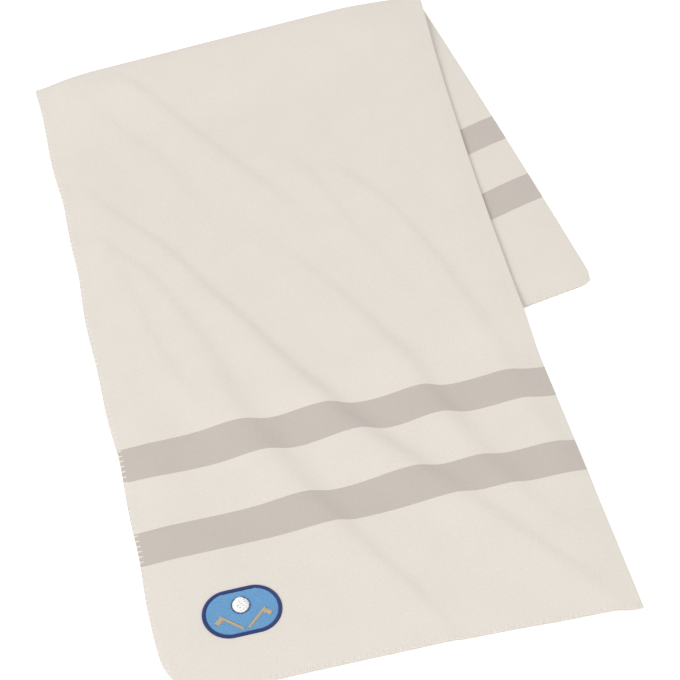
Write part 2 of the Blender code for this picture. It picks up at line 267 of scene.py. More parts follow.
# The care label and its seam.
LABEL_WIDTH = 0.018
LABEL_LENGTH = 0.032
LABEL_THICKNESS = 0.0003
LABEL_FROM_END = CORNER_RADIUS + 0.012
LABEL_COLUMNS = 19
LABEL_ROWS = 33
LABEL_GAP = 0.0002
LABEL_SWELL = 0.00015
LABEL_WAVES = (500, 330)  # radians per metre across and along
SEAM_INSET = 0.0012
SEAM_PITCH = 0.0022
SEAM_HOLES = (0.12, 0.88)  # where a stitch goes in and comes out, as shares of the pitch
SEAM_RADIUS = 0.00013
SEAM_PLACES = np.array((0.0, 0.15, 0.5, 0.85, 1.0))  # along a stitch
SEAM_LIFTS = np.array((-0.0001, 0.00028, 0.00034, 0.00028, -0.0001))  # above the label there

# The mesh of the cloth.
PITCH = 0.0017  # of the front's rows and the outer layer's columns, which show every ripple
COARSE_PITCH = 0.0042  # of the back's rows, and the inner layer's columns away from its sides
FOLD_COLUMNS = 8
ROLL_ROWS = 16
CORNER_ROWS = 10

# The camera and the studio.
CAMERA_PLACE = (-0.01585, -0.31504, 0.61393)  # in plan coordinates
CAMERA_TILT = math.radians(38.2)
CAMERA_TURN = math.radians(-14.5)
CAMERA_LENS = 94.98
LIGHTS = {  # place, size and power; they point at the middle of the towel
    "key": ((-1.45, -0.80, 1.35), 1.2, 21.0),
    "fill": ((1.1, -0.2, 0.9), 1.2, 4.0),
}
WORLD_STRENGTH = 0.78
WHITE = (1.0, 1.0, 1.0, 1.0)
FLOOR_CORNERS = ((-1, -1), (1, -1), (1, 1), (-1, 1))
FLOOR_REACH = 3.0
FLOOR_DROP = 0.0003
FLOOR_TONE = 0.97
FLOOR_GLOW = 0.25  # the floor gives off a little light, so that only a faint shadow stays

# Textures: the size of what they show, and each material's darkest and lightest tones, as shares of its
# colour. The tones follow each material's relief, wholly or in part, so they are painted shade in its
# hollows.
NAP_SIZE = 0.0011
CLOUD_SIZE = 0.016
CLOUD_SHARE = 0.25  # of the nap's strength
YARN_SIZE = 0.00062
YARN_SHARE = 0.45
STRAND_SIZE = 0.00022
RIB_SIZE = 0.0014
COTTON_TONES = (0.955, 1.03)
THREAD_TONES = (0.86, 1.08)
TAPE_TONES = (0.93, 1.0)

# Colours, as they look from 0 to 255.
IVORY = (215, 208, 199)
TAUPE = (186, 177, 169)
EDGING = (228, 222, 213)
FELT = (238, 238, 236)
TAPE = (240, 239, 235)
EMBROIDERY = {
    "navy": (38, 56, 114),
    "blue": (108, 162, 206),
    "tan": (190, 170, 140),
    "white": (242, 242, 240),
}


# Small helpers on numbers.


def smoothstep(value):
    value = np.clip(value, 0.0, 1.0)
    return value * value * (3 - 2 * value)


def mix(first, second, share):
    return first + (second - first) * share


def along_curve(place, knots, values):
    """Smooth values at a place between knots in rising order, level beyond the first and last."""
    knots, values = np.asarray(knots), np.asarray(values)
    slopes = np.gradient(values, knots)
    place = np.clip(place, knots[0], knots[-1])
    index = np.clip(np.searchsorted(knots, place) - 1, 0, len(knots) - 2)
    span = knots[index + 1] - knots[index]
    t = (place - knots[index]) / span
    return (
        values[index] * (1 + 2 * t) * (1 - t) ** 2
        + values[index + 1] * t * t * (3 - 2 * t)
        + span * t * (1 - t) * (slopes[index] * (1 - t) - slopes[index + 1] * t)
    )


def unit(vectors):
    return vectors / np.linalg.norm(vectors, axis=-1, keepdims=True)


def plan(x, y):
    """Points on the floor."""
    x, y = np.broadcast_arrays(x, y)
    return np.stack([x, y, np.zeros_like(x)], -1)


# The folded sheet. Plan coordinates start at the corner where the front's open side meets its end.


def roll_radius(across):
    """Radius of the crosswise crease's roll."""
    at_side = PINCH_HEIGHT * (1 - smoothstep(across / PINCH_WIDTH))
    at_fold = FOLD_PINCH_HEIGHT * smoothstep(1 - (CREASE_WIDTH - across) / FOLD_PINCH_WIDTH)
    return (CREASE_HEIGHT - at_side - at_fold) / 2


def crease_point(across):
    """The outermost line of the crosswise crease."""
    across = np.asarray(across, float)[..., None]
    pull = PINCH_PULL * np.clip(1 - across / PINCH_WIDTH, 0, 1) ** PULL_POWER
    return np.array((0, FRONT_LENGTH, 0)) + CREASE_ALONG * across + CREASE_IN * pull


def roll_start(across):
    """Where the front ends and the roll begins, which is right above where the back begins."""
    return crease_point(across) + CREASE_IN * roll_radius(across)[..., None]


def back_length(across):
    """From the back's free end to the roll."""
    return mix(BACK_LEFT_LENGTH, BACK_LENGTH, across / CREASE_WIDTH) - CREASE_HEIGHT / 2


def back_plan(across, along):
    """A place on the back in plan, by its distance from the back's free end."""
    length = back_length(across)
    share = across / CREASE_WIDTH
    flare = BACK_FLARE * share**3 * (1 - along / length)
    inside = smoothstep(along / BACK_END_MARGIN) * smoothstep((length - along) / BACK_END_MARGIN)
    bow = BACK_BOW * np.tanh((CREASE_WIDTH - across) / BOW_WIDTH) * inside
    pinched = (CREASE_HEIGHT / 2 - roll_radius(across)) * (1 - along / length)
    spread = BACK_SPREAD * share**2 * (1 - (along / length) ** 2)
    inward = CREASE_IN * (length - along + flare + bow + pinched)[..., None]
    return roll_start(across) + inward + CREASE_ALONG * spread[..., None]


def front_plan(across, along):
    """A place on the front in plan, by its distance from the front's free end."""
    share = across / CREASE_WIDTH
    flare = FRONT_FLARE * share**3 * np.maximum(0.0, 1 - along / FRONT_END_MARGIN)
    low = plan(share * FRONT_END_WIDTH, along - flare)
    top = roll_start(across)
    rise = np.clip((along - FRONT_BANDS) / (top[..., 1] - FRONT_BANDS), 0, 1)
    foot = plan(share * FRONT_END_WIDTH, np.full_like(share, FRONT_BANDS))
    hollow = plan(SIDE_HOLLOW * share * 4 * rise * (1 - rise), 0.0)
    high = mix(foot, top, rise[..., None]) - hollow
    return np.where((along <= FRONT_BANDS)[..., None], low, high)


def past_back_end(point):
    """How far a place is beyond the back's free end."""
    left, right = (back_plan(np.array(across), np.array(0.0)) for across in (0.0, CREASE_WIDTH))
    end_line = unit(right - left)
    outward = np.array((end_line[1], -end_line[0], 0))
    return (point - left) @ outward


def ridge_height(x, y):
    """Height of all the ridges together at a place in plan."""
    total = np.zeros_like(x)
    millimetre = 0.001
    for left_width, crest in RIDGES.values():
        crest_x, crest_y, height, right_width = millimetre * np.array(crest[::-1], float).T
        line = along_curve(y, crest_y, crest_x)
        above = along_curve(y + millimetre, crest_y, crest_x)
        below = along_curve(y - millimetre, crest_y, crest_x)
        distance = (x - line) / np.sqrt(1 + ((above - below) / (2 * millimetre)) ** 2)
        right = along_curve(y, crest_y, right_width)
        width = np.where(distance < 0, millimetre * left_width, right)
        total += along_curve(y, crest_y, height) * np.exp(-((distance / width) ** 2))
    return total


def swell(x, y):
    """A faint unevenness, from 0 to 1."""
    waves, most = 0.0, 0.0
    for along_x, along_y, phase, part in SWELL_WAVES:
        waves = waves + part * np.sin(x * along_x + y * along_y + phase)
        most += part
    return 0.5 + waves / (2 * most)


def front_middle(across, along):
    """The front, which comes down from the roll onto the back, and past its end onto the floor."""
    point = front_plan(across, along)
    from_roll = (point - roll_start(np.zeros_like(across))) @ CREASE_IN
    at_crease = 2 * roll_radius(across) - STRIP / 2
    on_back = STRIP + LIE_GAP + STRIP / 2
    settled = mix(at_crease, on_back, smoothstep(from_roll / SETTLE_LENGTH))
    height = mix(settled, STRIP / 2, smoothstep(past_back_end(point) / STEP_LENGTH))
    loose = smoothstep(from_roll / LOOSE_LENGTH)
    x, y = point[..., 0], point[..., 1]
    ridges = ridge_height(x, y) * loose
    height = height + ridges + SWELL_HEIGHT * swell(x, y) * loose
    return point + UP * height[..., None] + plan(0.0, RIDGE_DRAW * ridges)


def back_middle(across, along):
    """The back, which lies on the floor."""
    point = back_plan(across, along)
    x, y = point[..., 0], point[..., 1]
    loose = smoothstep((back_length(across) - along) / BACK_LOOSE_LENGTH)
    height = STRIP / 2 + SWELL_HEIGHT * swell(x + BACK_SWELL_SHIFT, y) * loose
    return point + UP * height[..., None]


def roll_middle(across, angle):
    """The roll, from straight up at its start to straight down at its end."""
    radius = roll_radius(across)
    reach = (radius - STRIP / 2)[..., None]
    outward = -CREASE_IN * np.cos(angle)[..., None] + UP * np.sin(angle)[..., None]
    return roll_start(across) + UP * radius[..., None] + outward * reach


def stretched(place, bands, stretch):
    """A place along one half of the sheet, true up to the end of its bands, stretched beyond."""
    return np.where(place <= bands, place, bands + (place - bands) * stretch)


def middle(across, station):
    """Middle of the two layers, at a place across the panel and a station along the sheet."""
    across, station = np.broadcast_arrays(np.asarray(across, float), np.asarray(station, float))
    stretch = (roll_start(across)[..., 1] - FRONT_BANDS) / (ROLL_START - FRONT_BANDS)
    along = stretched(station, FRONT_BANDS, stretch)
    stretch = (back_length(across) - BACK_BANDS) / (SHEET_END - ROLL_END - BACK_BANDS)
    back_along = stretched(SHEET_END - station, BACK_BANDS, stretch)
    angle = math.pi / 2 - math.pi * np.clip((station - ROLL_START) / ROLL_LENGTH, 0, 1)
    on_front, on_back = (station <= ROLL_START)[..., None], (station >= ROLL_END)[..., None]
    lower = np.where(on_back, back_middle(across, back_along), roll_middle(across, angle))
    return np.where(on_front, front_middle(across, along), lower)


def edge_wander(across, station, turn):
    """How far an open edge strays to the side, which differs between the two layers."""
    phase = WANDER_PHASE * np.cos(turn)
    wave = sum(part * np.sin(station * rate + times * phase) for rate, times, part in WANDER_WAVES)
    return EDGE_WANDER * wave * np.exp(-across / WANDER_WIDTH)


def tucked(across, station):
    """A place drawn in where a free end meets the lengthwise fold."""
    near_fold = np.clip(1 - (FOLD_ACROSS - across) / TIP_WIDTH, 0, 1) ** 2
    from_end = np.minimum(station, SHEET_END - station)
    on_front = station < SHEET_END / 2
    tuck = np.where(on_front, FRONT_TUCK, -BACK_TUCK) * np.exp(-from_end / TIP_FADE)
    draw = np.where(on_front, FRONT_FOLD_SHARE, 1.0) * FOLD_TUCK
    aside = draw * np.exp(-((2 * from_end / TIP_FADE) ** 2))
    return across - aside * near_fold, station + tuck * near_fold


def layer_offset(across, station):
    """How far each layer's middle is from the middle of the two."""
    from_end = np.minimum(station, SHEET_END - station)
    from_edge = np.minimum(np.minimum(across, FOLD_ACROSS - across), from_end)
    pressed = FOLD_PRESS * (1 - smoothstep((FOLD_ACROSS - across) / TIP_WIDTH))
    return mix(CLOSED_OFFSET, LAYER_OFFSET, smoothstep(from_edge / CLOSING_WIDTH)) - pressed


def sheet_point(across, station, turn, lift):
    """A point of the sheet. turn is 0 on the outer layer and pi on the inner one, and in between it
    is round the lengthwise fold. lift is measured from the middle of the layer, outwards."""
    across, station, turn, lift = np.broadcast_arrays(
        *(np.asarray(value, float) for value in (across, station, turn, lift))
    )
    offset = layer_offset(across, station)
    strayed, station = tucked(across + edge_wander(across, station, turn), station)
    centre = middle(strayed, station)
    step = 0.0002
    sideways = unit(middle(strayed + step, station) - middle(strayed - step, station))
    lengthways = unit(middle(strayed, station + step) - middle(strayed, station - step))
    normal = unit(np.cross(sideways, lengthways))
    outward = normal * np.cos(turn)[..., None] + sideways * np.sin(turn)[..., None]
    sink = (LAYER_OFFSET - offset) * np.abs(normal[..., 2])
    return centre + outward * (offset + lift)[..., None] - UP * sink[..., None]


def bend_share(station):
    """How much of the crease's turn a station takes: all on the front and none on the back."""
    start, end = ROLL_START - BEND_MARGIN, ROLL_END + BEND_MARGIN
    return 1 - smoothstep((station - start) / (end - start))


# Turning arrays into pieces.


def flat_points(across, station, above):
    """Each point's place on the flat sheet."""
    return np.stack(np.broadcast_arrays(across, station, above), -1).reshape(-1, 3)


def mesh_piece(name, points, faces, material, flat, origin):
    """An object from points in plan coordinates, with each point's place on the flat sheet."""
    mesh = bpy.data.meshes.new(name)
    mesh.from_pydata((points + origin).tolist(), [], faces.tolist())
    mesh.shade_smooth()
    mesh.materials.append(material)
    places = mesh.attributes.new("flat_place", "FLOAT_VECTOR", "POINT")
    places.data.foreach_set("vector", flat.astype(np.float32).ravel())
    mesh.update()
    piece = bpy.data.objects.new(name, mesh)
    bpy.context.scene.collection.objects.link(piece)
    bpy.context.view_layer.update()
    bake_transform(piece, "back", "front", start=origin, end=origin + UP)
    weights = bend_share(flat[:, 1]).astype(np.float32)
    mesh.attributes["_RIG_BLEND"].data.foreach_set("value", weights)
    return piece


def grid_faces(rows, columns):
    row, column = np.meshgrid(np.arange(rows - 1), np.arange(columns - 1), indexing="ij")
    corner = (row * columns + column).ravel()
    return np.stack([corner, corner + 1, corner + columns + 1, corner + columns], -1)


def slab_faces(rows, columns):
    """Faces of a closed slab whose upper grid of points comes before its lower one."""
    top = grid_faces(rows, columns)
    count = rows * columns
    index = np.arange(count).reshape(rows, columns)
    rim = np.concatenate([index[0, :-1], index[:-1, -1], index[-1, :0:-1], index[:0:-1, 0]])
    following = np.roll(rim, -1)
    sides = np.stack([following, rim, rim + count, following + count], -1)
    return np.concatenate([top, top[:, ::-1] + count, sides])


def tube_arrays(paths, ups, radius):
    """Points and faces of tubes along paths, which is an array of (tube, place, axis)."""
    ahead = unit(np.gradient(paths, axis=1))
    aside = unit(np.cross(ahead, ups))
    above = np.cross(aside, ahead)
    angles = (2 * math.pi * np.arange(THREAD_SIDES) / THREAD_SIDES)[:, None]
    ring = aside[:, :, None] * np.cos(angles) + above[:, :, None] * np.sin(angles)
    points = paths[:, :, None] + ring * radius
    tubes, places = paths.shape[:2]
    tube, place, side = np.meshgrid(
        np.arange(tubes), np.arange(places - 1), np.arange(THREAD_SIDES), indexing="ij"
    )
    ring = ((tube * places + place) * THREAD_SIDES).ravel()
    this, following = ring + side.ravel(), ring + (side.ravel() + 1) % THREAD_SIDES
    walls = np.stack([this, following, following + THREAD_SIDES, this + THREAD_SIDES], -1)
    return points.reshape(-1, 3), walls


def thread_piece(name, places, radius, material, origin):
    """Thread along rows of places on the sheet: across, station, turn and lift, each an array of
    (thread, place) or a number."""
    across, station, turn, lift = np.broadcast_arrays(*places)
    paths = sheet_point(across, station, turn, lift)
    ups = unit(sheet_point(across, station, turn, lift + radius) - paths)
    points, faces = tube_arrays(paths, ups, radius)
    flat = np.repeat(flat_points(across, station, lift), THREAD_SIDES, axis=0)
    return mesh_piece(name, points, faces, material, flat, origin)


# Materials. Each reads the place on the flat sheet, so its texture is the same size everywhere.


def linear(red, green, blue):
    """A colour for a shader, from how it looks."""

    def channel(value):
        value /= 255
        return value / 12.92 if value <= 0.04045 else ((value + 0.055) / 1.055) ** 2.4

    return (channel(red), channel(green), channel(blue), 1.0)


def base_material(name, roughness, sheen):
    """A matt material with the soft sheen of fibres."""
    material = bpy.data.materials.new(name)
    material.use_nodes = True
    shader = material.node_tree.nodes["Principled BSDF"]
    shader.inputs["Roughness"].default_value = roughness
    shader.inputs["Specular IOR Level"].default_value = 0.2
    shader.inputs["Sheen Weight"].default_value = sheen
    shader.inputs["Sheen Roughness"].default_value = 0.6
    return material, shader


def add_node(material, kind, values=(), links=()):
    """A node with some inputs set and some linked, by input name or number."""
    tree = material.node_tree
    node = tree.nodes.new("ShaderNode" + kind)
    for key, value in dict(values).items():
        if isinstance(key, str) and hasattr(node, key):
            setattr(node, key, value)
        else:
            node.inputs[key].default_value = value
    for key, socket in dict(links).items():
        tree.links.new(socket, node.inputs[key])
    return node


def flat_place(material):
    node = add_node(material, "Attribute", {"attribute_name": "flat_place"})
    return node.outputs["Vector"]


def noise(material, place, size, detail, roughness=0.5):
    node = add_node(
        material,
        "TexNoise",
        {"Scale": 1 / size, "Detail": detail, "Roughness": roughness},
        {"Vector": place},
    )
    return node.outputs["Fac"]


def shaded(colour, share):
    return (*(channel * share for channel in colour[:3]), 1.0)


def toned(material, factor, colour, tones, spread):
    """A colour that goes from its first tone to its second as the factor crosses the spread."""
    node = add_node(material, "ValToRGB", links={"Fac": factor})
    for stop, place, tone in zip(node.color_ramp.elements, spread, tones):
        stop.position = place
        stop.color = shaded(colour, tone)
    return node.outputs["Color"]


def added(material, value, share, other):
    """One node's value times a share, plus another's."""
    node = add_node(material, "Math", {"operation": "MULTIPLY_ADD", 1: share}, {0: value, 2: other})
    return node.outputs[0]


def connect(material, shader, tone, relief, strength, depth):
    """Gives a shader its colour, and its relief as a bump."""
    bump = add_node(material, "Bump", {"Strength": strength, "Distance": depth}, {"Height": relief})
    links = material.node_tree.links
    links.new(tone, shader.inputs["Base Color"])
    links.new(bump.outputs["Normal"], shader.inputs["Normal"])


def brushed_cotton(name, colour):
    """A soft flannel: a fine plain weave under a raised nap, uneven in tone, with painted shade in the nap's
    hollows.
    """
    material, shader = base_material(name, roughness=0.95, sheen=0.25)
    place = flat_place(material)
    nap = noise(material, place, NAP_SIZE, detail=5.0, roughness=0.75)
    cloud = noise(material, place, CLOUD_SIZE, detail=3.0)
    cells = {"Scale": 1 / YARN_SIZE, "Randomness": 0.35}
    yarns = add_node(material, "TexVoronoi", cells, {"Vector": place})
    both = added(material, cloud, CLOUD_SHARE, nap)
    whole = {"operation": "MULTIPLY", 1: 1 / (1 + CLOUD_SHARE)}
    blotches_and_nap_shade = add_node(material, "Math", whole, {0: both}).outputs[0]
    # Painted shade: the tone follows the nap, which is also the relief, so its hollows are darker; the
    # clouds add a random tone.
    tone = toned(material, blotches_and_nap_shade, colour, COTTON_TONES, spread=(0.36, 0.64))
    relief = added(material, yarns.outputs["Distance"], YARN_SHARE, nap)
    connect(material, shader, tone, relief, strength=0.32, depth=0.0004)
    return material


def thread(name, colour, roughness, sheen):
    """Twisted thread with a fine grain, its colour painted lighter where the grain stands up and darker in
    its hollows, as shade.
    """
    material, shader = base_material(name, roughness, sheen)
    strands = noise(material, flat_place(material), STRAND_SIZE, detail=3.0, roughness=0.6)
    # Painted shade and highlight: the tone follows the same grain as the relief.
    tone = toned(material, strands, colour, THREAD_TONES, spread=(0.35, 0.65))
    connect(material, shader, tone, strands, strength=0.5, depth=0.0001)
    return material


def woven_tape(name, colour):
    """The label's satin tape: fine ribs across it, with painted shade between them."""
    material, shader = base_material(name, roughness=0.55, sheen=0.3)
    bands = {"wave_type": "BANDS", "bands_direction": "Y", "Scale": 1 / RIB_SIZE}
    uneven = {"Distortion": 0.6, "Detail": 2.0}
    wave = add_node(material, "TexWave", bands | uneven, {"Vector": flat_place(material)})
    ribs = wave.outputs["Fac"]
    # Painted shade: the tone follows the ribs, which are also the relief, so it is darker between them.
    tone = toned(material, ribs, colour, TAPE_TONES, spread=(0.1, 0.9))
    connect(material, shader, tone, ribs, strength=0.4, depth=0.00008)
    return material


# The cloth.


def corner_inset(from_end):
    """How far a rounded corner cuts into the open side at this distance from the free end."""
    height = np.clip(CORNER_RADIUS - from_end, 0, CORNER_RADIUS)
    return CORNER_RADIUS - np.sqrt(CORNER_RADIUS**2 - height**2)


def spaced(start, end, pitch):
    """Even places from start to end, about a pitch apart, without the first."""
    count = max(1, round((end - start) / pitch))
    return np.linspace(start, end, count + 1)[1:]


def cloth_stations():
    """Stations of the rows: closer round corners and crease, with one at each edge of a stripe."""
    corner = CORNER_RADIUS * (1 - np.cos(math.pi / 2 * np.linspace(0, 1, CORNER_ROWS + 1)))
    bands = np.cumsum([0, STRIPE, STRIPE_SPACE, STRIPE])
    front = [CORNER_RADIUS, *(FRONT_END_MARGIN + bands), ROLL_START]
    back = [ROLL_END, *(SHEET_END - BACK_END_MARGIN - bands[::-1]), SHEET_END - CORNER_RADIUS]
    rows = [corner]
    rows += [spaced(start, end, PITCH) for start, end in zip(front, front[1:])]
    rows.append(spaced(ROLL_START, ROLL_END, ROLL_LENGTH / ROLL_ROWS))
    rows += [spaced(start, end, COARSE_PITCH) for start, end in zip(back, back[1:])]
    rows.append(SHEET_END - corner[::-1][1:])
    return np.concatenate(rows)


def inner_shares():
    """Places across the inner layer, from the fold to the open side, closer by the fold."""
    by_fold = np.linspace(0, TIP_WIDTH, round(TIP_WIDTH / PITCH) + 1)
    beyond = spaced(TIP_WIDTH, FOLD_ACROSS - STITCH_BITE, COARSE_PITCH)
    return 1 - np.concatenate([by_fold, beyond, [FOLD_ACROSS]]) / FOLD_ACROSS


def in_stripe(station):
    """Whether a station lies in one of the four woven stripes."""
    found = np.zeros(station.shape, bool)
    for from_end, margin in ((station, FRONT_END_MARGIN), (SHEET_END - station, BACK_END_MARGIN)):
        for start in (margin, margin + STRIPE + STRIPE_SPACE):
            found |= (from_end > start) & (from_end < start + STRIPE)
    return found


def make_cloth(cotton, stripe, origin):
    """The whole cloth as one closed piece, with its stripes in their own material."""
    stations = cloth_stations()
    outer = np.linspace(0, 1, round(FOLD_ACROSS / PITCH) + 1)
    inner = inner_shares()
    fold_turns = math.pi * np.arange(1, FOLD_COLUMNS) / FOLD_COLUMNS
    shares = np.concatenate([outer, np.ones_like(fold_turns), inner])
    turn = np.concatenate([np.zeros_like(outer), fold_turns, np.full_like(inner, math.pi)])
    left = corner_inset(np.minimum(stations, SHEET_END - stations))[:, None]
    across = mix(left, FOLD_ACROSS, shares)
    turn, station = np.broadcast_arrays(turn, stations[:, None])

    from_edge = np.minimum(across - left, np.minimum(station, SHEET_END - station))
    at_edge = 1 - smoothstep(from_edge / STITCH_BITE)
    at_fold = 1 - smoothstep((FOLD_ACROSS - across) / TIP_WIDTH)
    half = LAYER / 2 * (1 - np.maximum(EDGE_THINNING * at_edge, FOLD_THINNING * at_fold))
    layers = [sheet_point(across, station, turn, lift).reshape(-1, 3) for lift in (half, -half)]
    points = np.concatenate(layers)
    faces = slab_faces(*across.shape)
    unfolded = np.where(turn > math.pi / 2, FLAT_WIDTH - across, across)
    flat = np.tile(flat_points(unfolded, station, 0.0), (2, 1))
    cloth = mesh_piece("towel_cloth", points, faces, cotton, flat, origin)

    cloth.data.materials.append(stripe)
    striped = in_stripe(flat[:, 1][faces].mean(1)).astype(np.int32)
    cloth.data.polygons.foreach_set("material_index", striped)
    bands = ("_end_border", "_lower_stripe", "_stripe_space", "_upper_stripe", "_field")
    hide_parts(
        *(side + band for side in ("front", "back") for band in bands),
        "crease_upper_half",
        "crease_lower_half",
    )
    return cloth


# The overlocked edge.


def round_end(distance):
    """Places round a free end, from the outer layer's open side past the fold to the inner layer's:
    how far across, how far from the end, the turn, and the way into the cloth."""
    near = np.minimum(distance, END_EDGE - distance)
    angle = np.clip(near / CORNER_RADIUS, 0, math.pi / 2)
    straight = np.clip(near - CORNER_EDGE, 0, FOLD_ACROSS - CORNER_RADIUS)
    across = CORNER_RADIUS * (1 - np.cos(angle)) + straight
    from_end = CORNER_RADIUS * (1 - np.sin(angle))
    before_fold = CORNER_EDGE + FOLD_ACROSS - CORNER_RADIUS
    turn = np.clip((distance - before_fold) / CLOSED_OFFSET, 0, math.pi)
    return across, from_end, turn, np.stack([np.cos(angle), np.sin(angle)], -1)


def edge_runs():
    """Each run of the cut edge by name: its length, and a function for the places along it."""

    def back_end(distance):
        across, from_end, turn, inward = round_end(distance)
        return across, SHEET_END - from_end, turn, inward * (1, -1)

    def open_side(turn):
        def places(distance):
            zero = np.zeros_like(distance)
            return zero, CORNER_RADIUS + distance, zero + turn, np.stack([zero + 1, zero], -1)

        return places

    side_edge = SHEET_END - 2 * CORNER_RADIUS
    return {
        "front_end": (END_EDGE, round_end),
        "back_end": (END_EDGE, back_end),
        "outer_side": (side_edge, open_side(0.0)),
        "inner_side": (side_edge, open_side(math.pi)),
    }


def stitch_shape():
    """One stitch on one face of the cloth, from its hole out to the edge, along it, and back to the
    next hole: shares of the pitch, distances in from the edge, and lifts."""
    flat = LAYER / 2 * (1 - EDGE_THINNING) - THREAD_RADIUS * 0.4
    over = flat + THREAD_RADIUS
    side = (
        (0.03, STITCH_BITE * 0.72, over),
        (0.06, STITCH_BITE * 0.35, over),
        (0.08, STITCH_BITE * 0.05, flat + THREAD_RADIUS * 0.5),
        (0.11, -THREAD_RADIUS * 0.5, THREAD_RADIUS * 0.4),
    )
    hole = (0.0, STITCH_BITE, flat * 0.9)
    halfway = (0.5, -THREAD_RADIUS * 0.4, THREAD_RADIUS * 0.3)
    returning = [(1 - share, inset, lift) for share, inset, lift in side[::-1]]
    return np.array((hole, *side, halfway, *returning)).T


def make_edging(material, origin):
    """The thread that binds the cut edge: stitches over it, joined along it."""
    share, inset, lift = stitch_shape()
    pieces = []
    for run, (length, places) in edge_runs().items():
        count = round(length / STITCH_PITCH)
        distance = ((np.arange(count)[:, None] + share) * length / count).ravel()
        across, station, turn, inward = places(distance)
        across, station = np.stack([across, station]) + inward.T * np.tile(inset, count)
        for name, face in (("outer", 1), ("inner", -1)):
            path = [row[None] for row in (across, station, turn, face * np.tile(lift, count))]
            name = f"overlock_{run}_{name}_thread"
            piece = thread_piece(name, path, THREAD_RADIUS, material, origin)
            pieces.append(piece)
    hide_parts("front_edging", "back_edging")
    return pieces


# The embroidery, drawn about the emblem's own centre with Y up the towel.


def stadium_length(width, height):
    """The way round a bar with round ends."""
    return 2 * (width - height) + math.pi * height


def stadium_edge(width, height, share):
    """Points on a bar with round ends, and the directions out of it, at shares of the way round."""
    radius = height / 2
    straight = width / 2 - radius
    distance = share * stadium_length(width, height)
    starts = np.cumsum([0, 2 * straight, math.pi * radius, 2 * straight])
    leg = np.searchsorted(starts, distance, side="right") - 1
    along = distance - starts[leg]
    sine, cosine = np.sin(along / radius), np.cos(along / radius)
    zero = np.zeros_like(along)
    out_x = np.choose(leg, (zero, -sine, zero, sine))
    out_y = np.choose(leg, (zero + 1, cosine, zero - 1, -cosine))
    out = np.stack([out_x, out_y], -1)
    spine = np.choose(leg, (straight - along, -straight, along - straight, straight))
    return np.stack([spine, zero], -1) + radius * out, out


def on_sheet(points):
    """How far across and along the sheet, from places about the emblem's centre."""
    across = (EMBLEM_FROM_SIDE + points[..., 0]) * CREASE_WIDTH / FRONT_END_WIDTH
    return across, EMBLEM_FROM_END + points[..., 1]


def stitches(name, rails, stitch, material, origin):
    """Stitches of one kind, from each place on the first rail to its match on the second."""
    starts, ends = rails
    arch, base, radius = stitch
    paths = starts[:, None] + (ends - starts)[:, None] * ARCH_PLACES[:, None]
    places = *on_sheet(paths), 0.0, LAYER / 2 + base + arch * ARCH_SHAPE
    return thread_piece(name, places, radius, material, origin)


def fill_rows(radius, straight, pitch, stitch):
    """Rows of stitches across a bar with round ends, shifted so that their ends don't line up."""
    starts, ends = [], []
    for row, y in enumerate(np.arange(pitch / 2 - radius, radius, pitch)):
        half = straight + math.sqrt(max(0.0, radius**2 - y * y))
        cuts = np.arange(-half - stitch * ((row * ROW_SHIFT) % 1.0), half, stitch)
        cuts = cuts[cuts > -half + stitch * SHORTEST_STITCH]
        cuts = np.unique([-half, *cuts, half])
        starts += [(x, y) for x in cuts[:-1]]
        ends += [(x, y) for x in cuts[1:]]
    return np.array(starts), np.array(ends)


def satin_between(first, second):
    """Satin stitches between two rails, each a line of (X, Y) points."""
    rails = [np.array(rail, float) for rail in (first, second)]
    knots = [np.cumsum([0, *np.linalg.norm(np.diff(rail, axis=0), axis=1)]) for rail in rails]
    count = max(2, round(max(places[-1] for places in knots) / SATIN_PITCH))
    shares = np.linspace(0, 1, count)
    return [
        np.stack([np.interp(shares * places[-1], places, rail[:, axis]) for axis in (0, 1)], -1)
        for rail, places in zip(rails, knots)
    ]


def club_rails(side):
    """Rails of a golf iron's shaft and of its head, leaning out from the emblem's foot."""
    half = SHAFT_WIDTH / 2
    sole = CLUB_LENGTH - HEAD_WIDTH
    shaft = [[(x, 0), (x, CLUB_LENGTH)] for x in (-half, half)]
    head = [
        [(half, sole), (HEAD_LENGTH, sole + HEAD_RISE)],
        [(half, CLUB_LENGTH), (HEAD_TOP_LENGTH, CLUB_LENGTH + HEAD_RISE)],
    ]
    foot = np.array((half + CLUB_FROM_MIDDLE, CLUB_FROM_EDGE - EMBLEM_HEIGHT / 2))
    cos, sin = math.cos(CLUB_LEAN), math.sin(CLUB_LEAN)
    lean = np.array(((cos, -sin), (sin, cos)))
    return [[(rail @ lean + foot) * (side, 1) for rail in rails] for rails in (shaft, head)]


